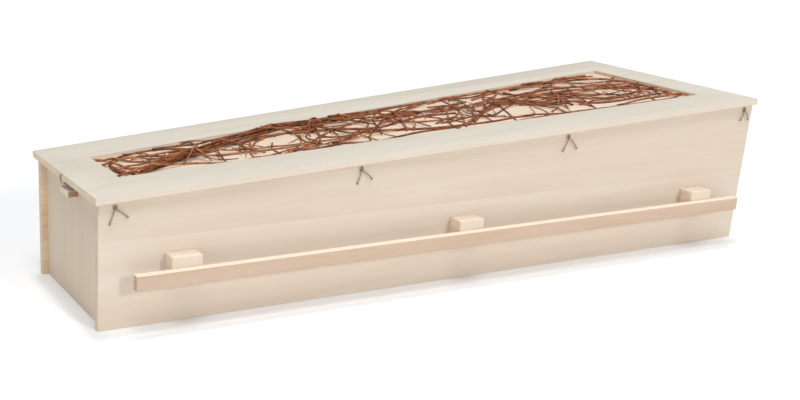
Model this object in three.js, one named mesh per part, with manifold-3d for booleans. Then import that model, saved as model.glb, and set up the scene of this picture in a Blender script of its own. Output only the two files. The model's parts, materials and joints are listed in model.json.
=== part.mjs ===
// A plain wooden coffin with a lift-off lid, whose long window holds a mat of willow rods.
// Millimetres. X runs along the coffin from the foot (-X) to the head (+X), Z is up, and the
// origin is on the floor under the middle of the lid. Left is +Y, seen from the foot.
import * as THREE from "three";
import { mergeVertices } from "three/addons/utils/BufferGeometryUtils.js";
import Module from "manifold-3d";

const wasm = await Module();
wasm.setup();

// Boards
const board = 18; // walls, base and lid
const gap = 0.3; // left at every glued or resting face

// The box, measured outside: widths at the floor, heights at the two ends
const boxLength = 2004;
const footWidth = 423;
const headWidth = 636;
const footHeight = 310;
const rise = 0.0521; // of the top edge, per mm towards the head
const sideLean = 0.0178; // outward, per mm up
const headLean = 0.026; // of the head end, per mm up
const endInset = 16; // of the end panels, behind the ends of the sides

// The lid: its overhang past the box's top edges, its window and the panel that fills the
// window's lower part
const lidSideOverhang = 12;
const lidFootOverhang = 9.5;
const lidLength = 2030;
const lidEase = 1.5; // radius of the eased edges
const windowEndBorder = 107;
const windowFootWidth = 200;
const windowHeadWidth = 420;
const innerPanelThickness = 8;

// The carrying bars and the three blocks that hold each one off its side
const barHeight = 37.5;
const barThickness = 20;
const barStandoff = 43;
const barBottom = 112; // above the floor
const barStart = 68; // from the foot end of the side
const barEnd = 1936;
const blockStarts = { foot: 163, middle: 962, head: 1772 };
const blockLength = 75;
const blockTop = 176;

// The foot end: a hand slot at the top of its panel and a cleat below it
const slotWidth = 104;
const slotDepth = 27; // below the lid
const slotCorner = 8;
const slotCentre = 12;
const cleatWidth = 60;
const cleatHeight = 15;
const cleatProjection = 25;
const cleatDrop = 19; // of its top, below the lid
const cleatCentre = -9;

// The cord ties near the top edge of each side. Each comes out of a hole as a small knot with
// two tails: where the hole is along the side, and how far each tail's end is from it.
const cord = 3;
const tieDrop = 14.5; // of the hole, below the top edge
const tieKnot = 4; // radius
const ties = [
  { x: 39, footTail: [-14, -39], headTail: [31, -25] },
  { x: 679, footTail: [-11, -37], headTail: [32, -27] },
  { x: 1327, footTail: [-17, -38], headTail: [31, -34] },
  { x: 1981, footTail: [-13, -32], headTail: [17, -31] },
];

// The willow mat
const rodCount = 26;
const rodSides = 6;
const rodSteps = 11;
const thickRod = 3.9; // radius
const thinRod = 2.7;
const rodLayers = 4;
const matHeight = 13; // of the layers, over the inner panel
const rodDip = 3.2; // up and down, from its layer
const golden = (Math.sqrt(5) - 1) / 2;

// Derived places
const lidTilt = Math.atan(rise);
const lidMiddle = (board * Math.sin(lidTilt)) / 2;
const lidFootEnd = lidMiddle - (lidLength / 2) * Math.cos(lidTilt);
const footX = lidFootEnd + lidFootOverhang;
const headX = footX + boxLength;
const spread = (headWidth - footWidth) / 2 / boxLength; // outward, per mm towards the head
const halfWidth = (x, z) => footWidth / 2 + spread * (x - footX) + sideLean * z;
const topEdge = (x) => footHeight + rise * (x - footX);
const lidHalfWidth = (x) => halfWidth(x, topEdge(x)) + lidSideOverhang;

const finish = (color, roughness) =>
  new THREE.MeshStandardMaterial({ color, roughness, metalness: 0 });
const paleBoard = finish(0xead9c2, 0.62);
const lidBoard = finish(0xe9e0cf, 0.62);
const barWood = finish(0xe3c6a6, 0.6);
const willowBark = finish(0x7a3b20, 0.55);
const hempCord = finish(0xa98a63, 0.9);

function piece(name, geometry, material) {
  const mesh = new THREE.Mesh(geometry, material);
  mesh.name = name;
  return mesh;
}

// A flat outline of [x, y] points, as a shape.
const outline = (points) => new THREE.Shape(points.map(([x, y]) => new THREE.Vector2(x, y)));

// A board cut to an outline in X and Z, with its outer face on the slanting face of the right
// side, pushed out by a distance, and its thickness inwards.
function onRightSide(points, thickness, outwards = 0) {
  const geometry = new THREE.ExtrudeGeometry(outline(points), {
    depth: thickness,
    bevelEnabled: false,
  });
  const standing = new THREE.Matrix4().set(1, 0, 0, 0, 0, 0, 1, 0, 0, 1, 0, 0, 0, 0, 0, 1);
  const slant = new THREE.Matrix4().set(
    1, 0, 0, 0,
    -spread, 1, -sideLean, -footWidth / 2 + spread * footX - outwards,
    0, 0, 1, 0,
    0, 0, 0, 1,
  );
  geometry.applyMatrix4(standing).applyMatrix4(slant);
  return facingOut(geometry);
}

// Turns the faces of a mirrored geometry round, so that they point out again.
function facingOut(geometry) {
  const p = geometry.attributes.position;
  for (let i = 0; i < p.count; i += 3) {
    const [a, b] = [1, 2].map((k) => new THREE.Vector3().fromBufferAttribute(p, i + k));
    p.setXYZ(i + 1, b.x, b.y, b.z);
    p.setXYZ(i + 2, a.x, a.y, a.z);
  }
  return geometry;
}

// Solids for cutting and joining.
function solid(geometry) {
  const bare = geometry.index ? geometry.toNonIndexed() : geometry.clone();
  bare.deleteAttribute("normal");
  bare.deleteAttribute("uv");
  const merged = mergeVertices(bare, 1e-3);
  return new wasm.Manifold(
    new wasm.Mesh({
      numProp: 3,
      vertProperties: merged.attributes.position.array,
      triVerts: new Uint32Array(merged.index.array),
    }),
  );
}

function geometryOf(manifold) {
  const mesh = manifold.getMesh();
  const geometry = new THREE.BufferGeometry();
  geometry.setAttribute("position", new THREE.BufferAttribute(mesh.vertProperties, 3));
  geometry.setIndex(new THREE.BufferAttribute(mesh.triVerts, 1));
  const faceted = geometry.toNonIndexed();
  faceted.computeVertexNormals();
  return faceted;
}

// A round stick or cord along a curve.
function tube(curve, radius, sides, steps) {
  const section = new THREE.Shape(
    Array.from({ length: sides }, (_, i) => {
      const a = (2 * Math.PI * i) / sides;
      return new THREE.Vector2(radius * Math.cos(a), radius * Math.sin(a));
    }),
  );
  return new THREE.ExtrudeGeometry(section, { extrudePath: curve, steps });
}

// The right-hand side of the coffin: its board, its carrying bar on three blocks, and its ties.
// The left-hand side is the same, mirrored.
function side(name) {
  const group = new THREE.Group();
  const [foot, head] = [footX, headX];
  const headTop = (topEdge(head) - gap) / (1 - rise * headLean);
  group.add(
    piece(
      `side_board_${name}`,
      onRightSide(
        [
          [foot, 0],
          [head, 0],
          [head + headLean * headTop, headTop],
          [foot, topEdge(foot) - gap],
        ],
        board,
      ),
      paleBoard,
    ),
  );

  const barTop = barBottom + barHeight;
  const rake = headLean * barHeight;
  group.add(
    piece(
      `carrying_bar_${name}`,
      onRightSide(
        [
          [foot + barStart, barBottom],
          [foot + barEnd, barBottom],
          [foot + barEnd + rake, barTop],
          [foot + barStart, barTop],
        ],
        barThickness,
        barStandoff + barThickness,
      ),
      barWood,
    ),
  );

  for (const [place, start] of Object.entries(blockStarts)) {
    const [a, b] = [foot + start, foot + start + blockLength];
    group.add(
      piece(
        `bar_block_${name}_${place}`,
        onRightSide(
          [
            [a, barBottom],
            [b, barBottom],
            [b, blockTop],
            [a, blockTop],
          ],
          barStandoff - 2 * gap,
          barStandoff - gap,
        ),
        paleBoard,
      ),
    );
  }

  ties.forEach((tie, i) => group.add(...cordTie(`tie_${name}_${i + 1}`, tie)));
  return group;
}

// One tie: a knot over its hole, and two tails that slant down and away from the board.
function cordTie(name, { x, footTail, headTail }) {
  const hole = new THREE.Vector2(footX + x, topEdge(footX + x) - tieDrop);
  const at = (dx, dz, out) => {
    const [px, pz] = [hole.x + dx, hole.y + dz];
    return new THREE.Vector3(px, -halfWidth(px, pz) - out, pz);
  };
  const knot = new THREE.SphereGeometry(tieKnot, 8, 6);
  const centre = at(0, 0, tieKnot + gap);
  knot.translate(centre.x, centre.y, centre.z);

  const tail = ([dx, dz], bow) => {
    const start = (tieKnot + 2 * gap + cord / 2) / Math.hypot(dx, dz);
    const points = [start, 0.4, 0.7, 1].map((t) =>
      at(
        dx * t + bow * Math.sin(Math.PI * t),
        dz * t,
        cord / 2 + 2 + 3 * Math.sin(Math.PI * t) + gap,
      ),
    );
    return tube(new THREE.CatmullRomCurve3(points), cord / 2, 8, 6);
  };
  return [
    piece(`${name}_knot`, knot, hempCord),
    piece(`${name}_foot_tail`, tail(footTail, -2), hempCord),
    piece(`${name}_head_tail`, tail(headTail, 2), hempCord),
  ];
}

// An end panel: an outline in Y and Z, one board thick, leaning with its end of the box.
function endPanel(footFace, lean, top) {
  const inside = (z) => halfWidth(footFace + lean * z, z) - board - gap;
  const geometry = new THREE.ExtrudeGeometry(
    outline([
      [-inside(0), 0],
      [inside(0), 0],
      [inside(top), top],
      [-inside(top), top],
    ]),
    { depth: board, bevelEnabled: false },
  );
  const standing = new THREE.Matrix4().set(
    0, lean, 1, footFace,
    1, 0, 0, 0,
    0, 1, 0, 0,
    0, 0, 0, 1,
  );
  return geometry.applyMatrix4(standing);
}

// The foot panel, with a hand slot that is open at the top.
function footPanel() {
  const top = topEdge(footX + endInset) - gap;
  const [half, bottom, r] = [slotWidth / 2, top - slotDepth, slotCorner];
  const slot = new THREE.Shape()
    .moveTo(-half, top + board)
    .lineTo(-half, bottom + r)
    .absarc(-half + r, bottom + r, r, Math.PI, 1.5 * Math.PI)
    .absarc(half - r, bottom + r, r, 1.5 * Math.PI, 2 * Math.PI)
    .lineTo(half, top + board);
  const cutter = new THREE.ExtrudeGeometry(slot, {
    depth: 3 * board,
    bevelEnabled: false,
    curveSegments: 4,
  });
  const across = new THREE.Matrix4().set(
    0, 0, 1, footX + endInset - board,
    1, 0, 0, slotCentre,
    0, 1, 0, 0,
    0, 0, 0, 1,
  );
  cutter.applyMatrix4(across);
  return geometryOf(solid(endPanel(footX + endInset, 0, top)).subtract(solid(cutter)));
}

function headPanel() {
  const outerFace = headX - endInset;
  const top = topEdge(outerFace - board) - gap;
  return endPanel(outerFace - board, headLean, top);
}

function baseBoard() {
  const [a, b] = [footX + endInset + board + gap, headX - endInset - board - gap];
  const inside = (x) => halfWidth(x, 0) - board - gap;
  return new THREE.ExtrudeGeometry(
    outline([
      [a, -inside(a)],
      [b, -inside(b)],
      [b, inside(b)],
      [a, inside(a)],
    ]),
    { depth: board, bevelEnabled: false },
  );
}

// The cleat on the foot panel, with the edges of its outer end eased.
function footCleat() {
  const top = topEdge(footX) - cleatDrop;
  const ease = 1.2;
  const section = outline([
    [0, top - cleatHeight],
    [0, top],
    [ease - cleatProjection, top],
    [-cleatProjection, top - ease],
    [-cleatProjection, top - cleatHeight + ease],
    [ease - cleatProjection, top - cleatHeight],
  ]);
  const geometry = new THREE.ExtrudeGeometry(section, {
    depth: cleatWidth,
    bevelEnabled: false,
  });
  geometry.rotateX(Math.PI / 2);
  geometry.translate(footX + endInset - gap, cleatCentre + cleatWidth / 2, 0);
  return geometry;
}

// The cord that comes out of the hand slot and curls up in front of the lid's edge.
function footCord() {
  const lid = topEdge(footX);
  const face = footX - lidFootOverhang;
  const points = [
    [face + 30, -12, lid - 9],
    [face + 16, -12.8, lid - 7.6],
    [face + 4.5, -13, lid - 6.4],
    [face - 0.2, -11.6, lid - 5.6],
    [face - 2.8, -8, lid - 4.6],
    [face - 3.7, -3.5, lid - 3],
    [face - 3.8, 1, lid - 0.2],
    [face - 3.8, 3.8, lid + 4.2],
    [face - 3.6, 4.2, lid + 9.4],
    [face - 3.4, 3.4, lid + 14.2],
  ].map((p) => new THREE.Vector3(...p));
  return tube(new THREE.CatmullRomCurve3(points), 1.5, 8, 20);
}

// The lid's own frame: u along the coffin from the lid's middle, Y across, and Z up from the
// lid's underside. The two half widths below are of the lid and of its window, at u.
const worldX = (u) => lidMiddle + u * Math.cos(lidTilt);
const lidHalf = (u) => lidHalfWidth(worldX(u));
const windowEnd = lidLength / 2 - windowEndBorder;
const windowHalf = (u) => {
  const t = (u + windowEnd) / (2 * windowEnd);
  return (windowFootWidth + (windowHeadWidth - windowFootWidth) * t) / 2;
};

// A four-sided outline, symmetrical about the coffin's middle.
const tapered = (end, half) => [
  [-end, -half(-end)],
  [end, -half(end)],
  [end, half(end)],
  [-end, half(-end)],
];

function lidFrame() {
  const end = lidLength / 2;
  const shape = outline(tapered(end, lidHalf));
  shape.holes.push(
    new THREE.Path(tapered(windowEnd, windowHalf).map(([x, y]) => new THREE.Vector2(x, y))),
  );
  const geometry = new THREE.ExtrudeGeometry(shape, {
    depth: board - 2 * lidEase,
    bevelThickness: lidEase,
    bevelSize: lidEase,
    bevelOffset: -lidEase,
    bevelSegments: 2,
  });
  return geometry.translate(0, 0, lidEase);
}

// The panel that closes the window, flush with the lid's underside.
function lidInnerPanel() {
  const half = (u) => windowHalf(u) - gap;
  return new THREE.ExtrudeGeometry(outline(tapered(windowEnd - gap, half)), {
    depth: innerPanelThickness,
    bevelEnabled: false,
  });
}

// Numbers from 0 to 1 that look random and are the same each time.
function dice(seed) {
  let state = seed;
  return () => {
    state = (state * 16807) % 2147483647;
    return state / 2147483647;
  };
}

// One rod of the mat. It runs more or less along the window, crosses it at a slant with a bow,
// and lies in its own layer, dipping under and over the rods that it meets. Golden-ratio steps
// spread the rods evenly over the window.
function rodCurve(next, index, radius) {
  const length = 2 * windowEnd * (0.26 + 0.4 * next());
  const start = -windowEnd + 8 + (2 * windowEnd - 16 - length) * ((index * golden) % 1);
  const from = 1.7 * ((index * golden * golden + 0.2) % 1) - 0.85;
  const to = THREE.MathUtils.clamp(from + 1.6 * (next() - 0.5), -0.86, 0.86);
  const bow = 0.7 * (next() - 0.5);
  const lowest = innerPanelThickness + 1 + radius;
  const layer = (index % rodLayers) / (rodLayers - 1);
  const level = lowest + layer * (matHeight - 2 * radius);
  const phase = 2 * Math.PI * next();
  const points = Array.from({ length: 6 }, (_, i) => {
    const t = i / 5;
    const u = start + length * t;
    const across = from + (to - from) * t + bow * Math.sin(Math.PI * t);
    const room = windowHalf(u) - radius - 4;
    const z = level + rodDip * Math.sin(phase + 7 * t);
    return new THREE.Vector3(u, room * THREE.MathUtils.clamp(across, -1, 1), Math.max(z, lowest));
  });
  return new THREE.CatmullRomCurve3(points);
}

// The rods touch where they cross, so the mat is one solid.
function willowMat() {
  const next = dice(12);
  let mat = null;
  for (let i = 0; i < rodCount; i++) {
    const radius = thinRod + (thickRod - thinRod) * next();
    const rod = solid(tube(rodCurve(next, i, radius), radius, rodSides, rodSteps));
    mat = mat ? mat.add(rod) : rod;
  }
  return geometryOf(mat);
}

const lid = new THREE.Group();
lid.position.set(lidMiddle, 0, topEdge(lidMiddle));
lid.rotation.y = -lidTilt;
lid.add(
  piece("lid_frame", lidFrame(), lidBoard),
  piece("lid_inner_panel", lidInnerPanel(), paleBoard),
  piece("willow_mat", willowMat(), willowBark),
);

const right = side("right");
const left = side("left");
left.scale.y = -1;

const coffin = new THREE.Group();
coffin.name = "coffin";
coffin.add(
  right,
  left,
  piece("foot_panel", footPanel(), paleBoard),
  piece("head_panel", headPanel(), paleBoard),
  piece("base_board", baseBoard(), paleBoard),
  piece("foot_cleat", footCleat(), paleBoard),
  piece("foot_cord", footCord(), hempCord),
  lid,
);

export default coffin;
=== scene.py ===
# A plain wooden coffin, with a mat of willow rods in the window of its lid. Metres: X runs from
# the foot (-X) to the head (+X), Z is up, and the right side, which faces the camera, is -Y.
import json
import math

import bpy
import numpy as np
from mathutils import Matrix, Vector

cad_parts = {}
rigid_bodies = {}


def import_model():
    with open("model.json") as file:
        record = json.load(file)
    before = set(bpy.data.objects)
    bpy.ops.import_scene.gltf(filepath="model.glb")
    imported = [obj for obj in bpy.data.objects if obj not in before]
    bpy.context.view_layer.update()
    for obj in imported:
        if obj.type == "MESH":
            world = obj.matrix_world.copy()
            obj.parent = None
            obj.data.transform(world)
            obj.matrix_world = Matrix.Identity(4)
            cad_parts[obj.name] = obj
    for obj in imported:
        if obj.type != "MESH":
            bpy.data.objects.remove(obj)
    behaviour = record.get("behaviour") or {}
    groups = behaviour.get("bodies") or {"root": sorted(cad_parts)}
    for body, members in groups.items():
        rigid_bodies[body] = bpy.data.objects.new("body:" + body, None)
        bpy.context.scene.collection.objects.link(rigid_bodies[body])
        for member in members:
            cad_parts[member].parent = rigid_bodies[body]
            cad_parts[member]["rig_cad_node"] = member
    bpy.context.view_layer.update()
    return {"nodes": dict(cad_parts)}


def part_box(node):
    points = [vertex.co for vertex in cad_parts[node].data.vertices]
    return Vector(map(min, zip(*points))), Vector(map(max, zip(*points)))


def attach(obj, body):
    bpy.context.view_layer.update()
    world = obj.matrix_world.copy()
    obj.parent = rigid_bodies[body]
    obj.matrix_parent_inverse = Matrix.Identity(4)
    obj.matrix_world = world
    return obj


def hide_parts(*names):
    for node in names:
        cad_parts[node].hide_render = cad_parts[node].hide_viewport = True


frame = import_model()
bpy.ops.object.select_all(action="DESELECT")

# ---------------------------------------------------------------------------------------------
# The studio. The coffin stands on a wide white floor between white walls. Most of the light comes
# from above. A lamp at the right, a little towards the head, throws the soft shadows on the side
# board, and a wide faint one lightens the foot end.
floor_size = 120.0
floor_white = (0.86, 0.87, 0.885)
bpy.ops.mesh.primitive_plane_add(size=floor_size, location=(0, 0, 0))
floor = bpy.context.object
floor.name = "studio_floor"
floor_paint = bpy.data.materials.new("studio_floor")
floor_paint.use_nodes = True
floor_paint.node_tree.nodes["Principled BSDF"].inputs["Base Color"].default_value = (*floor_white, 1)
floor_paint.node_tree.nodes["Principled BSDF"].inputs["Roughness"].default_value = 1.0
floor_paint.node_tree.nodes["Principled BSDF"].inputs["Specular IOR Level"].default_value = 0.0
floor.data.materials.append(floor_paint)

# Even light from the walls: white near the horizon, softer above. The two heights are sines of
# the angle above the horizon.
wall_light = 0.3
white_below = 0.06
soft_above = 0.16
world = bpy.data.worlds.new("studio_walls")
world.use_nodes = True
bpy.context.scene.world = world
sky = world.node_tree
sky_place = sky.nodes.new("ShaderNodeTexCoord")
sky_height = sky.nodes.new("ShaderNodeSeparateXYZ")
sky_tone = sky.nodes.new("ShaderNodeValToRGB")
sky_tone.color_ramp.elements[0].position = white_below
sky_tone.color_ramp.elements[0].color = (1, 1, 1, 1)
sky_tone.color_ramp.elements[1].position = soft_above
sky_tone.color_ramp.elements[1].color = (wall_light, wall_light, wall_light, 1)
sky.links.new(sky_place.outputs["Generated"], sky_height.inputs[0])
sky.links.new(sky_height.outputs["Z"], sky_tone.inputs[0])
sky.links.new(sky_tone.outputs["Color"], sky.nodes["Background"].inputs["Color"])


lamp_distance = 4.0


# A lamp far away, seen from the coffin at a compass angle (from the right side towards the head)
# and a height angle, as wide in the sky as its width says. All angles are in degrees.
def soft_lamp(name, turn, height, width, power):
    turn, height = math.radians(turn), math.radians(height)
    towards = Vector((
        math.sin(turn) * math.cos(height),
        -math.cos(turn) * math.cos(height),
        math.sin(height),
    ))
    bpy.ops.object.light_add(type="SUN", location=towards * lamp_distance)
    lamp = bpy.context.object
    lamp.name = name
    lamp.rotation_euler = towards.to_track_quat("Z", "Y").to_euler()
    lamp.data.angle = math.radians(width)
    lamp.data.energy = power


soft_lamp("overhead_softbox", -30, 72, 30, 1.55)
soft_lamp("ceiling_lamp", 150, 84, 6, 0.85)
soft_lamp("side_lamp", 16, 24, 8, 0.86)
soft_lamp("foot_end_fill", -65, 28, 60, 0.22)

# The camera stands at the right of the foot end, about a metre up, and looks down a little.
camera_place = (-1.8557, -2.4825, 1.0656)
camera_turn = 0.4988
camera_tip = 0.2523
camera_roll = 0.0325
bpy.ops.object.camera_add(location=camera_place)
camera = bpy.context.object
looking = Vector((
    math.sin(camera_turn) * math.cos(camera_tip),
    math.cos(camera_turn) * math.cos(camera_tip),
    -math.sin(camera_tip),
))
level = Vector((math.cos(camera_turn), -math.sin(camera_turn), 0))
upright = level.cross(looking)
right = math.cos(camera_roll) * level + math.sin(camera_roll) * upright
up = math.cos(camera_roll) * upright - math.sin(camera_roll) * level
camera.rotation_euler = Matrix((right, up, -looking)).transposed().to_euler()
camera.data.sensor_width = 36
camera.data.lens = 50.455
camera.data.shift_x = 0.1875
camera.data.shift_y = -0.0625
bpy.context.scene.camera = camera
bpy.context.scene.view_settings.view_transform = "Standard"

# ---------------------------------------------------------------------------------------------
# The cord ties. Near the top edge of each side four thin hemp cords come out of small holes,
# each tied in a knot with a little loop over it and two tails, and each tail has a knot at its end.
foot_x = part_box("side_board_right")[0].x
box_length = 2.004
foot_width = 0.423
head_width = 0.636
spread = (head_width - foot_width) / 2 / box_length
side_lean = 0.0178
foot_height = 0.310
rise = 0.0521
tie_drop = 0.0145
tie_cord = 0.003

# Each tie's hole, by its distance from the foot end of the side, and where its foot tail and its
# head tail end, along the side and up from the hole.
ties = [
    (0.039, (-0.014, -0.039), (0.031, -0.025)),
    (0.679, (-0.011, -0.037), (0.032, -0.027)),
    (1.327, (-0.017, -0.038), (0.031, -0.034)),
    (1.981, (-0.013, -0.032), (0.017, -0.031)),
]


# How far the side's outer face is from the middle of the coffin.
def half_width(x, z):
    return foot_width / 2 + spread * (x - foot_x) + side_lean * z


# A smooth line through a few points, as many steps between each two.
def smooth_route(points, steps):
    points = [Vector(p) for p in points]
    ends = [2 * points[0] - points[1], *points, 2 * points[-1] - points[-2]]
    route = []
    for a, b, c, d in zip(ends, ends[1:], ends[2:], ends[3:]):
        for i in range(steps):
            t = i / steps
            route.append(0.5 * (
                2 * b + (c - a) * t + (2 * a - 5 * b + 4 * c - d) * t * t
                + (3 * b - a - 3 * c + d) * t * t * t
            ))
    return [*route, points[-1]]


# A direction that no cord or rod here runs along.
odd_direction = (0.31, 0.17, 0.93)


# Rings of points round a line, and the faces between them. A ring's radius may change along the
# line and round it: grooves cuts that many grooves, which turn by twist radians per metre.
def rod_mesh(route, radius, sides, grooves=0, groove_depth=0.0, twist=0.0):
    line = np.array(route, float)
    radius = np.broadcast_to(radius, len(line))
    along = np.gradient(line, axis=0)
    along /= np.linalg.norm(along, axis=1)[:, None]
    across = np.cross(along[0], odd_direction)
    run = np.concatenate([[0], np.cumsum(np.linalg.norm(np.diff(line, axis=0), axis=1))])
    turn = 2 * math.pi * np.arange(sides) / sides
    rings = []
    for place, way, girth, distance in zip(line, along, radius, run):
        across = across - way * (across @ way)
        across /= np.linalg.norm(across)
        third = np.cross(way, across)
        groove = 0.5 - 0.5 * np.cos(grooves * (turn - twist * distance))
        bulge = girth * (1 - groove_depth * groove)
        rings.append(place + np.outer(bulge * np.cos(turn), across) + np.outer(bulge * np.sin(turn), third))
    points = np.concatenate([*rings, line[:1], line[-1:]])
    count = len(line)
    faces = []
    for i in range(count - 1):
        for k in range(sides):
            m = (k + 1) % sides
            faces.append((i * sides + k, i * sides + m, (i + 1) * sides + m, (i + 1) * sides + k))
    for k in range(sides):
        m = (k + 1) % sides
        faces.append((count * sides, m, k))
        faces.append((count * sides + 1, (count - 1) * sides + k, (count - 1) * sides + m))
    return points, faces


# A shown piece from points and faces, riding on the coffin.
def new_piece(name, points, faces, material, slot):
    mesh = bpy.data.meshes.new(name)
    mesh.from_pydata([tuple(p) for p in points], [], faces)
    mesh.validate()
    piece = bpy.data.objects.new(name, mesh)
    bpy.context.scene.collection.objects.link(piece)
    mesh.shade_smooth()
    mesh.materials.append(material)
    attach(piece, "root")
    return piece


# A new material, with its tree and its shader.
def blank_material(name, roughness, specular):
    material = bpy.data.materials.new(name)
    material.use_nodes = True
    shader = material.node_tree.nodes["Principled BSDF"]
    shader.inputs["Roughness"].default_value = roughness
    shader.inputs["Specular IOR Level"].default_value = specular
    return material, material.node_tree, shader


# A node in a tree. Each input is given a number or colour, or the socket that feeds it.
def add_node(tree, kind, inputs, **settings):
    made = tree.nodes.new("ShaderNode" + kind)
    for setting, value in settings.items():
        setattr(made, setting, value)
    for socket, value in inputs.items():
        if isinstance(value, bpy.types.NodeSocket):
            tree.links.new(value, made.inputs[socket])
        else:
            made.inputs[socket].default_value = value
    return made


# A colour between two, by a factor.
def blend_colours(tree, factor, first, second):
    mix = add_node(tree, "Mix", {0: factor, 6: first, 7: second}, data_type="RGBA")
    return mix.outputs[2]


# Hemp: dry fibres, pale where they stand out, with painted shade darkening the hollows in between.
hemp_hollow_shade = (0.14, 0.088, 0.06, 1)
hemp_light = (0.49, 0.365, 0.265, 1)
fibres_per_metre = 900


def hemp_material():
    material, tree, shader = blank_material("hemp_cord", 0.85, 0.25)
    place = add_node(tree, "TexCoord", {})
    fibre = add_node(tree, "TexNoise", {
        "Vector": place.outputs["Object"], "Scale": fibres_per_metre, "Detail": 3,
    })
    shade = add_node(tree, "MapRange", {"Value": fibre.outputs["Fac"], "From Min": 0.3, "From Max": 0.72})
    # The colour follows the bump's height, so the low hollows between the fibres get painted shade.
    colour = blend_colours(tree, shade.outputs[0], hemp_hollow_shade, hemp_light)
    bump = add_node(tree, "Bump", {"Strength": 0.5, "Distance": 0.0004, "Height": fibre.outputs["Fac"]})
    tree.links.new(colour, shader.inputs["Base Color"])
    tree.links.new(bump.outputs["Normal"], shader.inputs["Normal"])
    return material


hemp = hemp_material()
strands = 3
strand_groove = 0.2
strand_twist = 2 * math.pi / 0.008
strand_crown = 1.06
cord_sides = 12
cut_tip = 0.6
end_knot_place = 0.0028
end_knot_reach = 0.0017


# A cord's own mesh: three strands laid round each other, swelling into a knot just before the far
# end by end_knot, a share of its thickness.
def cord_mesh(route, diameter, end_knot):
    run = np.concatenate([[0], np.cumsum([(b - a).length for a, b in zip(route, route[1:])])])
    left = run[-1] - run
    swell = end_knot * np.exp(-(((left - end_knot_place) / end_knot_reach) ** 2))
    radius = diameter / 2 * (strand_crown + swell)
    radius[-1] *= cut_tip
    return rod_mesh(route, radius, cord_sides, strands, strand_groove, strand_twist)


# How the ties are tied: how far the knot's middle and the tails stand out from the board, and how
# far a tail arches out and sideways between its two ends. The radii are shares of the cord's size.
knot_out = 0.004
knot_size = 0.00092
knot_sides = 10
knot_radius = 0.42
loop_radius = 0.4
tail_knot = 0.85
tail_start_out = 0.0030
tail_out = 0.0023
tail_arch = 0.003
tail_bow = 0.002


# One tie on one side. side is -1 on the right and 1 on the left.
def cord_tie(name, node, side, from_foot, foot_tail, head_tail):
    hole_x = foot_x + from_foot
    hole_z = foot_height + rise * from_foot - tie_drop

    def at(dx, dz, out):
        x, z = hole_x + dx, hole_z + dz
        return Vector((x, side * (half_width(x, z) + out), z))

    # The knot: a cord wound over and under itself, with the loop that holds it above.
    turns = np.linspace(0, 2 * math.pi, 60, endpoint=False)
    wound = [
        at(knot_size * (math.sin(t) + 2 * math.sin(2 * t)), knot_size * (math.cos(t) - 2 * math.cos(2 * t)),
           knot_out - knot_size * 1.4 * math.sin(3 * t))
        for t in [*turns, turns[0]]
    ]
    knot_points, knot_faces = rod_mesh(wound, tie_cord * knot_radius, knot_sides, strands, strand_groove,
                                       strand_twist)
    arch = smooth_route([
        at(-0.0035, -0.001, 0.003), at(-0.0052, 0.0035, 0.0035), at(-0.0015, 0.0082, 0.004),
        at(0.0032, 0.0062, 0.003), at(0.0035, 0.001, 0.001), at(0.001, -0.001, -0.002),
    ], 8)
    arch_points, arch_faces = rod_mesh(arch, tie_cord * loop_radius, knot_sides, strands, strand_groove,
                                       strand_twist)
    faces = knot_faces + [tuple(i + len(knot_points) for i in face) for face in arch_faces]
    knot = new_piece(f"{name}_knot", np.concatenate([knot_points, arch_points]), faces, hemp, "hemp_cord")
    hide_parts(f"{node}_knot")

    for end, (dx, dz), bow in (("foot", foot_tail, -tail_bow), ("head", head_tail, tail_bow)):
        points = [at(0, 0, tail_start_out)]
        for t in (0.16, 0.4, 0.7, 1):
            hump = math.sin(math.pi * t)
            points.append(at(dx * t + bow * hump, dz * t, tie_cord / 2 + tail_out + tail_arch * hump))
        route = smooth_route(points, 12)
        tail = new_piece(f"{name}_{end}_tail", *cord_mesh(route, tie_cord, tail_knot), hemp, "hemp_cord")
        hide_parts(f"{node}_{end}_tail")


for side_name, side in (("right", -1), ("left", 1)):
    for number, (from_foot, foot_tail, head_tail) in enumerate(ties, 1):
        name = f"hemp_tie_{side_name}_{number}"
        cord_tie(name, f"tie_{side_name}_{number}", side, from_foot, foot_tail, head_tail)

# ---------------------------------------------------------------------------------------------
# The short cord at the foot end, of the same hemp. It comes out of the hand slot under the lid,
# and its end curls up in front of the lid's edge.
lid_foot_overhang = 0.0095
foot_cord_knot = 0.5
foot_edge = foot_x - lid_foot_overhang
foot_route = smooth_route([
    (foot_edge + 0.030, -0.012, foot_height - 0.009),
    (foot_edge + 0.016, -0.0128, foot_height - 0.0076),
    (foot_edge + 0.0045, -0.013, foot_height - 0.0064),
    (foot_edge - 0.0002, -0.0116, foot_height - 0.0056),
    (foot_edge - 0.0028, -0.008, foot_height - 0.0046),
    (foot_edge - 0.0037, -0.0035, foot_height - 0.003),
    (foot_edge - 0.0038, 0.001, foot_height - 0.0002),
    (foot_edge - 0.0038, 0.0038, foot_height + 0.0042),
    (foot_edge - 0.0036, 0.0042, foot_height + 0.0094),
    (foot_edge - 0.0034, 0.0034, foot_height + 0.0142),
], 6)
foot_mesh = cord_mesh(foot_route, tie_cord, foot_cord_knot)
foot_piece = new_piece("hemp_foot_cord", *foot_mesh, hemp, "hemp_cord")
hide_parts("foot_cord")

# ---------------------------------------------------------------------------------------------
# The box. Its boards are glued up from pale staves, planed and left bare, and their edges are
# eased with sandpaper. The sides run past the end panels, and the base lies between them. The
# sides' inner faces are of narrower staves, painted a warmer tan as shade with warm reflected light.
edge_ease = 0.0011
side_light = (0.75, 0.655, 0.55, 1)
side_dark = (0.685, 0.573, 0.455, 1)


# Planed timber as a node group. Its Vector has X along the grain and Y across the staves. A glue
# line is a share of a stave's width. The end grain is a paler or a darker shade of the dark tone.
glue_line_share = 0.006
end_grain_shades = ((0.93, 0.89, 0.82, 1), (1.08, 1.05, 0.98, 1))
stretch_between_staves = 31.0


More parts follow.
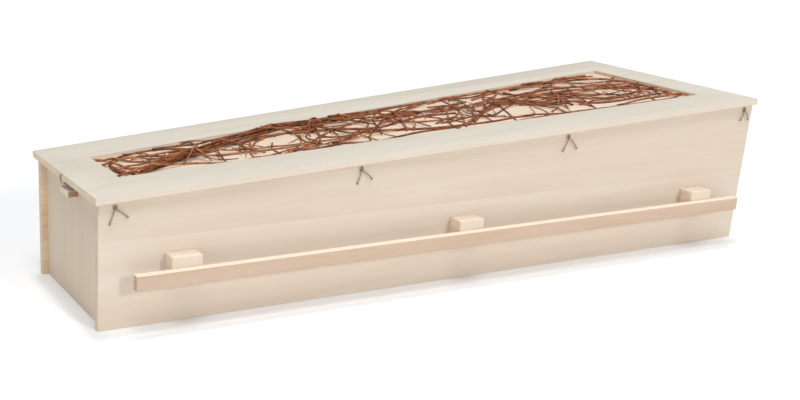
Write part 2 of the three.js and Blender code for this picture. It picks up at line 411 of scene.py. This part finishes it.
def timber_group():
    group = bpy.data.node_groups.new("planed_timber", "ShaderNodeTree")
    for name, kind in (
        ("Vector", "NodeSocketVector"), ("Stave Width", "NodeSocketFloat"), ("Light", "NodeSocketColor"),
        ("Dark", "NodeSocketColor"), ("Figure", "NodeSocketFloat"), ("End Grain", "NodeSocketFloat"),
    ):
        group.interface.new_socket(name, in_out="INPUT", socket_type=kind)
    for name, kind in (
        ("Color", "NodeSocketColor"), ("Roughness", "NodeSocketFloat"), ("Height", "NodeSocketFloat"),
    ):
        group.interface.new_socket(name, in_out="OUTPUT", socket_type=kind)
    given = group.nodes.new("NodeGroupInput").outputs
    result = group.nodes.new("NodeGroupOutput")

    # Which stave a point is on, and how near it is to a glue line.
    parts = add_node(group, "SeparateXYZ", {0: given["Vector"]})
    staves = add_node(group, "Math", {0: parts.outputs["Y"], 1: given["Stave Width"]}, operation="DIVIDE")
    number = add_node(group, "Math", {0: staves.outputs[0]}, operation="FLOOR")
    chance = add_node(group, "TexWhiteNoise", {"W": number.outputs[0]}, noise_dimensions="1D")
    within = add_node(group, "Math", {0: staves.outputs[0]}, operation="FRACT")
    glue_line = add_node(group, "MapRange", {
        "Value": within.outputs[0], "From Min": 0.0, "From Max": glue_line_share,
        "To Min": 1.0, "To Max": 0.0,
    })

    # Each stave has its own stretch of the grain: slow bands, fine lines and pores. The rings show
    # on end grain only.
    shift = add_node(group, "Math", {0: chance.outputs["Value"], 1: stretch_between_staves},
                     operation="MULTIPLY")
    moved = add_node(group, "CombineXYZ", {"X": shift.outputs[0], "Z": shift.outputs[0]})
    spot = add_node(group, "VectorMath", {0: given["Vector"], 1: moved.outputs[0]}, operation="ADD")

    def grain(stretch, detail, distortion):
        laid = add_node(group, "Mapping", {"Vector": spot.outputs[0], "Scale": stretch})
        noise = add_node(group, "TexNoise", {
            "Vector": laid.outputs[0], "Scale": 1.0, "Detail": detail, "Distortion": distortion,
        })
        return noise.outputs["Fac"]

    bands = grain((0.9, 24, 24), 2, 0.8)
    lines = grain((3, 260, 260), 3, 0.3)
    pores = grain((45, 1500, 1500), 2, 0)
    rings = grain((160, 130, 40), 3, 0.8)

    def weigh(value, weight):
        return add_node(group, "Math", {0: value, 1: weight}, operation="MULTIPLY").outputs[0]

    def total(first, second):
        return add_node(group, "Math", {0: first, 1: second}, operation="ADD").outputs[0]

    figure = total(total(weigh(bands, 0.55), weigh(lines, 0.25)), weigh(chance.outputs["Value"], 0.2))
    spread_out = add_node(group, "MapRange", {"Value": figure, "From Min": 0.3, "From Max": 0.7})
    amount = add_node(group, "Math", {0: spread_out.outputs[0], 1: given["Figure"]}, operation="MULTIPLY")
    face = blend_colours(group, amount.outputs[0], given["Light"], given["Dark"])
    jointed = blend_colours(group, weigh(glue_line.outputs[0], 0.35), face, given["Dark"])
    end_share = add_node(group, "MapRange", {"Value": rings, "From Min": 0.3, "From Max": 0.7})
    end_tone = blend_colours(group, end_share.outputs[0], *end_grain_shades)
    end_face = add_node(group, "Mix", {0: 1.0, 6: given["Dark"], 7: end_tone},
                        data_type="RGBA", blend_type="MULTIPLY")
    colour = blend_colours(group, given["End Grain"], jointed, end_face.outputs[2])
    roughness = add_node(group, "MapRange", {"Value": pores, "To Min": 0.6, "To Max": 0.82})
    height = total(weigh(lines, 0.6), weigh(pores, 0.4))
    group.links.new(colour, result.inputs["Color"])
    group.links.new(roughness.outputs[0], result.inputs["Roughness"])
    group.links.new(height, result.inputs["Height"])
    return group


planed_timber = timber_group()


# Bare planed wood. turn lays the grain along X, and the end grain shows on faces square to it.
# shift picks a stretch of the grain, stave is the width of a stave, and figure is how strongly the
# grain shows.
def wood_material(name, turn, shift, stave, light, dark, figure=1.0):
    material, tree, shader = blank_material(name, 0.6, 0.14)
    place = add_node(tree, "TexCoord", {})
    laid = add_node(tree, "Mapping", {
        "Vector": place.outputs["Object"], "Rotation": turn, "Location": shift,
    })
    facing = add_node(tree, "Mapping", {"Vector": place.outputs["Normal"], "Rotation": turn},
                      vector_type="VECTOR")
    parts = add_node(tree, "SeparateXYZ", {0: facing.outputs[0]})
    square = add_node(tree, "Math", {0: parts.outputs["X"]}, operation="ABSOLUTE")
    end = add_node(tree, "MapRange", {"Value": square.outputs[0], "From Min": 0.75, "From Max": 0.9})
    timber = add_node(tree, "Group", {}, node_tree=planed_timber)
    tree.links.new(laid.outputs[0], timber.inputs["Vector"])
    tree.links.new(end.outputs[0], timber.inputs["End Grain"])
    timber.inputs["Stave Width"].default_value = stave
    timber.inputs["Light"].default_value = light
    timber.inputs["Dark"].default_value = dark
    timber.inputs["Figure"].default_value = figure
    bump = add_node(tree, "Bump", {"Strength": 0.35, "Distance": 0.0003, "Height": timber.outputs["Height"]})
    tree.links.new(timber.outputs["Color"], shader.inputs["Base Color"])
    tree.links.new(timber.outputs["Roughness"], shader.inputs["Roughness"])
    tree.links.new(bump.outputs["Normal"], shader.inputs["Normal"])
    return material


# Corners closer than this are one, faces within the flat angle are one, edges past the corner
# angle are eased, and those under the soft angle are shaded smooth.
weld_distance = 0.00002
flat_angle = math.radians(1)
corner_angle = math.radians(40)
soft_angle = math.radians(30)


# A copy of a CAD board, merged, with its sharp edges eased unless they already are.
def planed(name, node, material, ease=edge_ease):
    copy = frame["nodes"][node].copy()
    copy.data = copy.data.copy()
    copy.name = name
    del copy["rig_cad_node"]
    bpy.context.scene.collection.objects.link(copy)
    bpy.ops.object.select_all(action="DESELECT")
    copy.select_set(True)
    bpy.context.view_layer.objects.active = copy
    bpy.ops.object.mode_set(mode="EDIT")
    bpy.ops.mesh.select_all(action="SELECT")
    bpy.ops.mesh.remove_doubles(threshold=weld_distance)
    bpy.ops.mesh.dissolve_limited(angle_limit=flat_angle)
    bpy.ops.object.mode_set(mode="OBJECT")
    if ease:
        eased = copy.modifiers.new("eased_edges", "BEVEL")
        eased.width = ease
        eased.segments = 3
        eased.limit_method = "ANGLE"
        eased.angle_limit = corner_angle
        bpy.ops.object.modifier_apply(modifier="eased_edges")
    bpy.ops.object.shade_smooth_by_angle(angle=soft_angle)
    copy.data.materials.clear()
    copy.data.materials.append(material)
    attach(copy, "root")
    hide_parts(node)
    return copy


# Gives the faces of a board that look along a direction a second wood. least is how much of a
# face's normal has to point that way.
def second_wood(board, wood, direction, least):
    board.data.materials.append(wood)
    for face in board.data.polygons:
        if face.normal.dot(Vector(direction)) > least:
            face.material_index = 1


quarter = math.pi / 2
level_grain = (0, 0, 0)
standing_grain = (-quarter, 0, 0)
upright_grain = (quarter, 0, quarter)
side_stave = 0.118
inner_stave = 0.05
inner_bounce_light = (0.86, 0.70, 0.50, 1)
inner_shade_dark = (0.66, 0.49, 0.32, 1)
# The inner faces' warm tan is painted shade and warm reflected light. Their narrower staves are the wood's
# own grain.
inner_shade_and_bounce_wood = wood_material("inner_side_shade_and_bounce_wood", standing_grain, (0.5, 0.01, 0), inner_stave,
                           inner_bounce_light, inner_shade_dark)
for side_name, shift in (("right", 0.02), ("left", 0.31)):
    side_wood = wood_material(f"side_wood_{side_name}", standing_grain, (shift, shift, 0), side_stave,
                              side_light, side_dark)
    board = planed(f"planed_side_{side_name}", f"side_board_{side_name}", side_wood)
    second_wood(board, inner_shade_and_bounce_wood, (0, 1 if side_name == "right" else -1, 0), 0.9)

end_light = (0.735, 0.63, 0.515, 1)
end_dark = (0.67, 0.555, 0.43, 1)
end_wood = wood_material("end_wood", upright_grain, (0.4, 0.05, 0), side_stave, end_light, end_dark)
planed("planed_foot_panel", "foot_panel", end_wood)
planed("planed_head_panel", "head_panel", end_wood)
base_stave = 0.13
base_wood = wood_material("base_wood", level_grain, (0.2, 0.03, 0), base_stave, side_light, side_dark)
planed("planed_base", "base_board", base_wood)

# ---------------------------------------------------------------------------------------------
# The lid: one wide glued-up board with a long window cut out of it, its edges rounded already in
# the CAD, and a thin pale panel let into the lower part of the window. The lid's upper face is
# painted a greyer, darker tone as cool light on the top, and its edges and window walls a lighter,
# warmer tone as warm light on them.
lid_stave = 0.14
# The greyer top tone is painted cool light on the lid's upper face.
lid_top_cool_light = (0.66, 0.62, 0.54, 1)
lid_top_cool_dark = (0.585, 0.535, 0.45, 1)
lid_wood = wood_material("lid_wood", level_grain, (0.9, 0.04, 0), lid_stave, lid_top_cool_light, lid_top_cool_dark)
lid_edge_warm_light = (0.75, 0.65, 0.545, 1)
lid_edge_warm_dark = (0.71, 0.605, 0.50, 1)
lid_edge_warm_light_wood = wood_material("lid_edge_warm_light_wood", level_grain, (0.9, 0.04, 0), lid_stave,
                              lid_edge_warm_light, lid_edge_warm_dark)
lid = planed("planed_lid", "lid_frame", lid_wood, 0)
# Faces that don't look up get the warmer, lighter wood: painted warm light on the edges and window walls.
second_wood(lid, lid_edge_warm_light_wood, (0, 0, -1), -0.3)

panel_light = (0.74, 0.62, 0.495, 1)
panel_dark = (0.67, 0.54, 0.415, 1)
panel_stave = 0.11
panel_wood = wood_material("panel_wood", level_grain, (0.1, 0.0, 0), panel_stave, panel_light, panel_dark)
planed("planed_inner_panel", "lid_inner_panel", panel_wood)

# ---------------------------------------------------------------------------------------------
# The willow mat. Cut willow rods with their red-brown bark on are laid loosely in the window of
# the lid, on the inner panel: long stems first, then side shoots and thin twigs across them.
# They rest on each other under their own weight, in a loose heap that stands above the lid only
# where many of them cross.
panel_gap = 0.0003
window_depth = 0.010
panel_corners = np.array([v.co for v in frame["nodes"]["lid_inner_panel"].data.vertices])


# The middle and the half width of the inner panel's top edge, at one end. corners are all of the
# panel's corners at that end.
def panel_end(corners):
    highest = corners[corners[:, 2] > corners[:, 2].max() - 0.001]
    return Vector((highest[0][0], 0, highest[0][2])), abs(highest[:, 1]).max()


foot_middle, foot_half = panel_end(panel_corners[panel_corners[:, 0] < 0])
head_middle, head_half = panel_end(panel_corners[panel_corners[:, 0] > 0])
lid_run = (head_middle - foot_middle).normalized()
lid_up = lid_run.cross(Vector((0, 1, 0)))
panel_length = (head_middle - foot_middle).length
window_length = panel_length + 2 * panel_gap
mat_start = foot_middle - panel_gap * lid_run
lid_axes = np.array((lid_run, (0, 1, 0), lid_up))


# Half the window's width, at a distance from its foot end.
def window_half(u):
    return foot_half + (head_half - foot_half) * u / window_length + panel_gap


# What lies in the window so far, as a height over the inner panel for each small square. The
# squares also cover an apron of the lid round the window.
cell = 0.002
apron = 0.060
rows = int((window_length + 2 * apron) / cell)
columns = int(2 * (head_half + apron) / cell)
row_u = (np.arange(rows) + 0.5) * cell - apron
column_v = (np.arange(columns) + 0.5) * cell - head_half - apron
inside = (row_u > 0) & (row_u < window_length)
open_window = inside[:, None] & (abs(column_v)[None, :] < window_half(row_u)[:, None])
heap = np.where(open_window, 0.0, window_depth)
chance = np.random.default_rng(41)

# How a rod settles: in many rounds each point of it sinks a little below the middle of its
# neighbours, its two ends a little more, and two rods that cross press into each other slightly.
settling_rounds = 110
sag = 0.00003
end_sag = 0.0001
nesting = 0.95


# Lays a rod down along a plan route: it rests on what is under it and sags in between. Gives
# the height of its middle line, and adds it to the heap.
def lay_down(u, v, radius):
    reach = int(math.ceil(radius.max() / cell))
    steps = np.arange(-reach, reach + 1)
    du, dv = np.meshgrid(steps * cell, steps * cell, indexing="ij")
    row = ((u + apron) / cell).astype(int)[:, None, None] + steps[None, :, None]
    column = ((v + head_half + apron) / cell).astype(int)[:, None, None] + steps[None, None, :]
    row = np.clip(row, 0, rows - 1)
    column = np.clip(column, 0, columns - 1)
    arch = np.sqrt(np.maximum(radius[:, None, None] ** 2 - du ** 2 - dv ** 2, 0))
    under = du ** 2 + dv ** 2 <= radius[:, None, None] ** 2
    lowest = np.where(under, heap[row, column] + nesting * arch, 0).max(axis=(1, 2))
    lowest = np.maximum(lowest, radius)
    height = lowest.copy()
    for _ in range(settling_rounds):
        height[1:-1] = np.maximum(lowest[1:-1], (height[:-2] + height[2:]) / 2 - sag)
        height[0] = max(lowest[0], 2 * height[1] - height[2] - end_sag)
        height[-1] = max(lowest[-1], 2 * height[-2] - height[-3] - end_sag)
    top = np.where(under, height[:, None, None] + arch, 0)
    np.maximum.at(heap, (row, column), top)
    return height


# Rounds off the corners of a row of numbers, and keeps its two ends. Each becomes the mean of
# itself and of as many on either side as reach says.
def soften(values, reach=3):
    padded = np.concatenate([np.full(reach, values[0]), values, np.full(reach, values[-1])])
    smooth = np.convolve(padded, np.full(2 * reach + 1, 1 / (2 * reach + 1)), mode="valid")
    smooth[0], smooth[-1] = values[0], values[-1]
    return smooth


# How far the rods stay from the window's ends and from its sides.
end_room = 0.004
side_room = 0.001
route_step = 0.005
kink_steps = 9


# A plan route that grows from a point: it keeps its heading but for a bend, a slow sway and
# small kinks, and it runs along the window's edge where it meets it.
def grow(u, v, heading, length, bend, radius):
    count = max(8, int(length / route_step))
    share = np.linspace(0, 1, count)
    wave = 2 * math.pi * (chance.uniform(0.6, 1.8) * share + chance.uniform(0, 1))
    kinks = np.repeat(chance.normal(0, 0.06, count // kink_steps + 1), kink_steps)[:count]
    angle = heading + bend * (share - 0.3) + chance.uniform(0.03, 0.16) * np.sin(wave) + kinks
    step = length / count
    u = u + np.concatenate([[0], np.cumsum(np.cos(angle))])[:count] * step
    v = v + np.concatenate([[0], np.cumsum(np.sin(angle))])[:count] * step
    u = np.clip(u, end_room + radius, window_length - end_room - radius)
    room = window_half(u) - radius - side_room
    v = np.clip(v, -room, room)
    return soften(u), soften(v)


mat_points = []
mat_faces = []
mat_tone = []
mat_run = []
mat_buds_and_shaded_ends = []
ring_spacing = 0.008
bud_spacing = (0.03, 0.055)
bud_reach = 0.0018
bud_swelling = 0.22
bud_darkness = 0.8
bud_ring = 0.002


# One rod: laid down, then given its taper, the swellings at its buds, its tone, its darker buds
# and the painted shade of its cut ends.
# lift is how high its thin end stands up.
def add_rod(u, v, thick, thin, sides, lift=0.0):
    run = np.concatenate([[0], np.cumsum(np.hypot(np.diff(u), np.diff(v)))])
    radius = np.interp(run / run[-1], [0, 1], [thick, thin])
    height = lay_down(u, v, radius) + lift * (run / run[-1]) ** 3
    buds = np.arange(chance.uniform(0.01, 0.03), run[-1] - 2 * bud_ring, chance.uniform(*bud_spacing))
    plain_rings = np.arange(0, run[-1], ring_spacing)
    stations = np.concatenate([plain_rings, buds - bud_ring, buds, buds + bud_ring, [run[-1]]])
    stations = np.unique(np.clip(stations, 0, run[-1]).round(4))
    place = [np.interp(stations, run, values) for values in (u, v, height)]
    swell = np.exp(-((stations[:, None] - buds[None, :]) / bud_reach) ** 2).sum(axis=1)
    unevenness = chance.normal(1, 0.03, len(stations))
    girth = np.interp(stations, run, radius) * (1 + bud_swelling * swell) * unevenness
    line = np.array(mat_start) + np.transpose(place) @ lid_axes
    points, faces = rod_mesh(line, girth, sides)
    laid_before = sum(len(rod) for rod in mat_points)
    mat_points.append(points)
    mat_faces.extend(tuple(i + laid_before for i in face) for face in faces)
    mat_tone.append(np.full(len(points), chance.uniform(0, 1)))
    mat_run.append(np.concatenate([np.repeat(stations, sides), [0, run[-1]]]))
    # Each bud is darkened in the bark's own tone. The two middle points of the cut ends take the full
    # painted shade.
    mat_buds_and_shaded_ends.append(np.concatenate([np.repeat(bud_darkness * np.minimum(swell, 1), sides), [1, 1]]))


# The main stems, listed one by one, from the foot end to the head: distances from the window's foot end
# and across it, from the thick end on, then the radius of the thick and of the thin end, which
# girth_factor then multiplies.
stem_sides = 7
girth_factor = 1.12
hand_laid = [
    ([(0.040, -0.094), (0.165, -0.030), (0.260, 0.010), (0.365, 0.055), (0.500, 0.105), (0.595, 0.125),
      (0.680, 0.110)], 0.0034, 0.0026),
    ([(0.050, -0.098), (0.190, -0.012), (0.300, 0.036), (0.385, 0.040), (0.490, 0.060), (0.615, 0.075),
      (0.760, 0.118), (0.900, 0.125)], 0.0035, 0.0024),
    ([(0.060, -0.090), (0.200, -0.022), (0.330, 0.020), (0.450, 0.080), (0.560, 0.112), (0.740, 0.140)],
     0.0032, 0.0022),
    ([(0.100, -0.060), (0.260, 0.020), (0.400, 0.075), (0.560, 0.118), (0.700, 0.112), (0.860, 0.135)],
     0.0030, 0.0022),
    ([(0.140, -0.050), (0.300, 0.018), (0.450, 0.088), (0.600, 0.118), (0.780, 0.100)], 0.0030, 0.0022),
    ([(0.200, -0.030), (0.340, 0.050), (0.480, 0.100), (0.640, 0.130), (0.820, 0.142)], 0.0028, 0.0020),
    ([(0.042, -0.092), (0.018, -0.030), (0.030, 0.040), (0.075, 0.082), (0.140, 0.098), (0.190, 0.094),
      (0.250, 0.070)], 0.0030, 0.0020),
    ([(0.060, -0.084), (0.030, -0.045), (0.022, 0.010), (0.060, 0.062), (0.125, 0.060), (0.185, 0.030)],
     0.0026, 0.0018),
    ([(0.004, 0.088), (0.025, 0.074), (0.050, 0.058), (0.100, 0.018), (0.180, -0.010)], 0.0028, 0.0020),
    ([(0.004, 0.030), (0.032, 0.016), (0.062, -0.030), (0.135, -0.020), (0.210, 0.018), (0.300, 0.050)],
     0.0030, 0.0020),
    ([(0.006, -0.070), (0.044, -0.080), (0.110, -0.072), (0.200, -0.062), (0.280, -0.096), (0.370, -0.112)],
     0.0026, 0.0018),
    ([(0.170, 0.094), (0.245, 0.102), (0.290, 0.092), (0.362, 0.110), (0.444, 0.124), (0.510, 0.118),
      (0.600, 0.090)], 0.0024, 0.0017),
    ([(0.320, 0.064), (0.303, -0.016), (0.284, -0.110)], 0.0020, 0.0014),
    ([(0.425, 0.040), (0.378, -0.048), (0.363, -0.112)], 0.0022, 0.0016),
    ([(0.470, 0.000), (0.443, -0.050), (0.438, -0.122)], 0.0022, 0.0015),
    ([(0.440, -0.118), (0.535, -0.068), (0.612, -0.009), (0.680, 0.028), (0.800, 0.080)], 0.0028, 0.0020),
    ([(0.460, -0.100), (0.540, -0.112), (0.627, -0.100), (0.710, -0.130), (0.860, -0.110), (1.000, -0.120)],
     0.0030, 0.0020),
    ([(0.640, 0.100), (0.685, 0.138), (0.680, 0.094), (0.658, 0.041)], 0.0024, 0.0015),
    ([(0.560, 0.060), (0.695, 0.020), (0.785, -0.014), (0.872, 0.004), (0.965, 0.024), (1.080, 0.010)],
     0.0032, 0.0022),
    ([(0.600, -0.090), (0.662, -0.066), (0.742, -0.033), (0.826, -0.060), (0.900, -0.090), (0.985, -0.108),
      (1.110, -0.122), (1.240, -0.118), (1.330, -0.150)], 0.0030, 0.0020),
    ([(0.730, 0.150), (0.835, 0.146), (0.925, 0.156), (1.080, 0.160), (1.160, 0.155), (1.240, 0.140),
      (1.320, 0.160), (1.420, 0.172)], 0.0030, 0.0019),
    ([(0.890, 0.134), (0.834, 0.070), (0.795, -0.010), (0.740, -0.060)], 0.0020, 0.0013),
    ([(0.885, 0.115), (0.960, 0.045), (1.017, -0.036), (1.036, -0.098)], 0.0022, 0.0014),
    ([(1.140, 0.150), (1.114, 0.046), (1.040, -0.080), (0.962, -0.146)], 0.0024, 0.0015),
    ([(1.285, 0.100), (1.222, -0.036), (1.170, -0.150)], 0.0024, 0.0017),
    ([(1.010, -0.125), (1.100, -0.060), (1.185, -0.012), (1.345, 0.056), (1.490, 0.060), (1.605, 0.040),
      (1.720, -0.010), (1.800, -0.090)], 0.0034, 0.0023),
    ([(1.060, -0.100), (1.200, 0.010), (1.340, 0.080), (1.480, 0.094), (1.620, 0.080), (1.740, 0.010),
      (1.790, -0.080), (1.780, -0.150)], 0.0034, 0.0022),
    ([(1.400, 0.150), (1.520, 0.172), (1.620, 0.160), (1.710, 0.150), (1.775, 0.110), (1.800, 0.030),
      (1.790, -0.050), (1.745, -0.135)], 0.0032, 0.0020),
    ([(1.300, -0.010), (1.390, -0.055), (1.468, -0.060), (1.510, -0.110), (1.610, -0.124), (1.720, -0.120),
      (1.800, -0.160)], 0.0032, 0.0022),
    ([(1.170, -0.158), (1.290, -0.155), (1.395, -0.160), (1.480, -0.170), (1.600, -0.176), (1.740, -0.180),
      (1.808, -0.160)], 0.0030, 0.0020),
    ([(1.565, 0.070), (1.500, -0.054), (1.460, -0.160)], 0.0024, 0.0016),
    ([(1.810, -0.060), (1.700, -0.070), (1.590, -0.096), (1.450, -0.100)], 0.0028, 0.0020),
    ([(1.810, 0.120), (1.720, 0.060), (1.620, 0.020), (1.500, 0.010), (1.380, 0.040)], 0.0028, 0.0018),
    ([(1.080, 0.140), (1.180, 0.162), (1.300, 0.172), (1.420, 0.176), (1.540, 0.188)], 0.0028, 0.0018),
    ([(1.220, 0.110), (1.340, 0.150), (1.460, 0.146), (1.560, 0.166), (1.680, 0.184), (1.770, 0.172)],
     0.0030, 0.0020),
    ([(1.400, 0.070), (1.520, 0.120), (1.640, 0.178), (1.760, 0.196)], 0.0026, 0.0018),
    ([(1.480, 0.184), (1.600, 0.140), (1.700, 0.080), (1.800, 0.060)], 0.0026, 0.0018),
    ([(1.620, 0.198), (1.720, 0.120), (1.770, 0.040), (1.745, -0.060), (1.660, -0.110)], 0.0026, 0.0018),
    ([(1.812, -0.176), (1.740, -0.150), (1.640, -0.146), (1.530, -0.170)], 0.0028, 0.0020),
    ([(1.812, 0.020), (1.740, -0.010), (1.640, 0.030), (1.520, 0.100), (1.400, 0.170)], 0.0026, 0.0018),
    ([(1.330, 0.176), (1.350, 0.100), (1.420, 0.020), (1.440, -0.070)], 0.0022, 0.0015),
    ([(1.690, 0.060), (1.660, -0.020), (1.700, -0.100), (1.680, -0.182)], 0.0022, 0.0015),
    ([(0.620, 0.126), (0.660, 0.040), (0.650, -0.040), (0.600, -0.126)], 0.0022, 0.0014),
    ([(0.500, 0.118), (0.560, 0.050), (0.540, -0.030), (0.480, -0.090)], 0.0022, 0.0014),
    ([(0.990, 0.150), (0.930, 0.080), (0.920, -0.010), (0.860, -0.090)], 0.0022, 0.0014),
    ([(0.760, 0.140), (0.820, 0.060), (0.930, -0.020), (1.060, -0.040), (1.180, -0.090)], 0.0026, 0.0018),
    ([(0.690, -0.134), (0.740, -0.060), (0.840, 0.020), (0.960, 0.100), (1.100, 0.150)], 0.0026, 0.0018),
]
for points, thick, thin in hand_laid:
    thick, thin = girth_factor * thick, girth_factor * thin
    route = smooth_route([(u, v, 0) for u, v in points], 12)
    u, v = np.array([p.x for p in route]), np.array([p.y for p in route])
    room = window_half(u) - thick - side_room
    add_rod(u, np.clip(v, -room, room), thick, thin, stem_sides)

# More long stems, spread evenly by golden-ratio steps. Each wanders on its own slow wave and sways
# on a quicker one, both as shares of the window's half width, and some are laid the other way.
golden = (math.sqrt(5) - 1) / 2
stem_count = 9
stem_step = 0.006
middle_share = 0.8
widest_share = 0.97
turned_share = 0.4
for i in range(stem_count):
    length = chance.uniform(0.40, 0.80)
    begin = (i * golden + chance.uniform(0, 0.03)) % 1 * (window_length - length)
    u = np.linspace(begin + stem_step, begin + length - stem_step, int(length / stem_step))
    middle = middle_share * (2 * ((i * golden * golden + 0.3) % 1) - 1)
    wander = chance.uniform(0.1, 0.35) * np.sin(
        2 * math.pi * (u / chance.uniform(0.6, 1.3) + chance.random()))
    sway = chance.uniform(0.02, 0.07) * np.sin(
        2 * math.pi * (u / chance.uniform(0.2, 0.4) + chance.random()))
    thick = chance.uniform(0.0022, 0.0032)
    share = np.clip(middle + wander + sway, -widest_share, widest_share)
    v = soften(share * (window_half(u) - thick - side_room))
    if chance.random() < turned_share:
        u, v = u[::-1], v[::-1]
    add_rod(u, v, thick, thick * chance.uniform(0.55, 0.8), stem_sides)


# A number of side shoots or twigs, spread evenly by golden-ratio steps: their lengths, the thick
# end's radius, how far they stray from the coffin's length, how much they bend and how high the
# thin end stands up, each from a lowest to a highest value. A lift below zero is none.
def scatter(count, lengths, radii, stray, bends, lifts, sides):
    for i in range(count):
        length = chance.uniform(*lengths)
        thick = chance.uniform(*radii)
        forward = chance.random() < 0.5
        heading = chance.uniform(*stray) * chance.choice([-1, 1]) + (0 if forward else math.pi)
        spare = max(window_length - length, 0.1)
        begin = (i * golden + chance.uniform(0, 0.04)) % 1 * spare
        u = begin if forward else begin + length
        u = min(max(u, 0.01), window_length - 0.01)
        v = chance.uniform(-0.93, 0.93) * window_half(u)
        if v * math.sin(heading) > 0:
            heading = -heading
        bend = chance.uniform(*bends) * chance.choice([-1, 1])
        lift = max(chance.uniform(*lifts), 0)
        route = grow(u, v, heading, length, bend, thick)
        add_rod(*route, thick, thick * chance.uniform(0.5, 0.75), sides, lift)


shoots = 44
twigs = 30
scatter(shoots, (0.10, 0.30), (0.0020, 0.0029), (0.4, 1.3), (0.4, 2.6), (-0.012, 0.009), 6)
scatter(twigs, (0.05, 0.13), (0.0014, 0.0019), (0.4, 1.5), (0.1, 2.2), (-0.010, 0.012), 5)


# Willow bark: smooth and a little glossy, in tones from orange-brown to dark red-brown, mottled
# along the rod and darker at the buds. The cut ends are painted dark brown as shade, though their
# wood is paler. The patches of each tone run from a dark to a light colour: the first of each pair
# is the reddest rod's, the second the most orange one's.
dark_patches = ((0.075, 0.021, 0.008, 1), (0.20, 0.056, 0.018, 1))
light_patches = ((0.34, 0.105, 0.036, 1), (0.62, 0.24, 0.086, 1))
shaded_cut_ends = (0.10, 0.05, 0.03, 1)
patches_per_metre = 60
bands_per_metre = 22
pores_per_metre = 700
step_between_rods = 60.0


def bark_material():
    material, tree, shader = blank_material("willow_bark", 0.5, 0.3)
    place = add_node(tree, "TexCoord", {})
    tone = add_node(tree, "Attribute", {}, attribute_name="bark_tone")
    run = add_node(tree, "Attribute", {}, attribute_name="bark_run")
    cut = add_node(tree, "Attribute", {}, attribute_name="bark_buds_and_shaded_ends")
    blotch = add_node(tree, "TexNoise", {
        "Vector": place.outputs["Object"], "Scale": patches_per_metre, "Detail": 3,
    })
    offset = add_node(tree, "Math", {0: tone.outputs["Fac"], 1: step_between_rods}, operation="MULTIPLY")
    shifted = add_node(tree, "Math", {0: run.outputs["Fac"], 1: offset.outputs[0]}, operation="ADD")
    lengthwise = add_node(tree, "TexNoise", {"W": shifted.outputs[0], "Scale": bands_per_metre, "Detail": 2},
                          noise_dimensions="1D")
    mixed = add_node(tree, "Math", {0: blotch.outputs["Fac"], 1: lengthwise.outputs["Fac"]}, operation="ADD")
    mottle = add_node(tree, "MapRange", {"Value": mixed.outputs[0], "From Min": 0.7, "From Max": 1.35})
    dark = blend_colours(tree, tone.outputs["Fac"], *dark_patches)
    light = blend_colours(tree, tone.outputs["Fac"], *light_patches)
    bark = blend_colours(tree, mottle.outputs[0], dark, light)
    # The buds darken the bark, and painted shade covers the cut ends.
    colour = blend_colours(tree, cut.outputs["Fac"], bark, shaded_cut_ends)
    lenticels = add_node(tree, "TexNoise", {
        "Vector": place.outputs["Object"], "Scale": pores_per_metre, "Detail": 2,
    })
    bump = add_node(tree, "Bump", {"Strength": 0.35, "Distance": 0.0004, "Height": lenticels.outputs["Fac"]})
    tree.links.new(colour, shader.inputs["Base Color"])
    tree.links.new(bump.outputs["Normal"], shader.inputs["Normal"])
    return material


mat = new_piece("willow_rods", np.concatenate(mat_points), mat_faces, bark_material(), "willow")
for name, values in (("bark_tone", mat_tone), ("bark_run", mat_run), ("bark_buds_and_shaded_ends", mat_buds_and_shaded_ends)):
    layer = mat.data.attributes.new(name, "FLOAT", "POINT")
    layer.data.foreach_set("value", np.concatenate(values).astype(np.float32))
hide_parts("willow_mat")

# ---------------------------------------------------------------------------------------------
# The carrying bars, of a redder wood than the box, with a paler colour painted on their tops as a
# highlight, and the three blocks that hold each one off its side. The blocks are short lengths of
# the box's own wood. Each is one piece of timber, so its one stave is wider than it is.
bar_ease = 0.0016
one_stave = 0.5
bar_light = (0.67, 0.515, 0.405, 1)
bar_dark = (0.57, 0.41, 0.295, 1)
block_light = (0.74, 0.625, 0.515, 1)
block_dark = (0.78, 0.66, 0.545, 1)
# The bars' tops get a paler wood: a painted highlight.
bar_top_highlight = (0.79, 0.67, 0.55, 1)
bar_top_highlight_wood = wood_material("bar_top_highlight_wood", level_grain, (0.6, 0.0, 0), one_stave,
                             bar_top_highlight, block_dark)
for side_name in ("right", "left"):
    bar_wood = wood_material(f"bar_wood_{side_name}", standing_grain, (0.6, 0.0, 0), one_stave,
                             bar_light, bar_dark)
    bar = planed(f"planed_bar_{side_name}", f"carrying_bar_{side_name}", bar_wood, bar_ease)
    second_wood(bar, bar_top_highlight_wood, (0, 0, 1), 0.7)
    for place, shift in (("foot", 0.1), ("middle", 0.5), ("head", 0.9)):
        block_wood = wood_material(f"block_wood_{side_name}_{place}", standing_grain, (shift, shift, 0),
                                   one_stave, block_light, block_dark)
        planed(f"planed_block_{side_name}_{place}", f"bar_block_{side_name}_{place}", block_wood)

# ---------------------------------------------------------------------------------------------
# The cleat, a short bar of the box's own wood with its grain across the coffin. It is fixed to the
# foot panel under the lid, at the hand slot.
crosswise_grain = (0, 0, quarter)
# Its dark tone shows mostly on the end grain, the near face under the lid. This is partly the end grain's
# own tone and partly painted shade.
cleat_end_grain_and_shade = (0.42, 0.30, 0.21, 1)
cleat_wood = wood_material("cleat_wood", crosswise_grain, (0.2, 0.33, 0), one_stave, side_light, cleat_end_grain_and_shade,
                           figure=0.35)
planed("planed_cleat", "foot_cleat", cleat_wood)
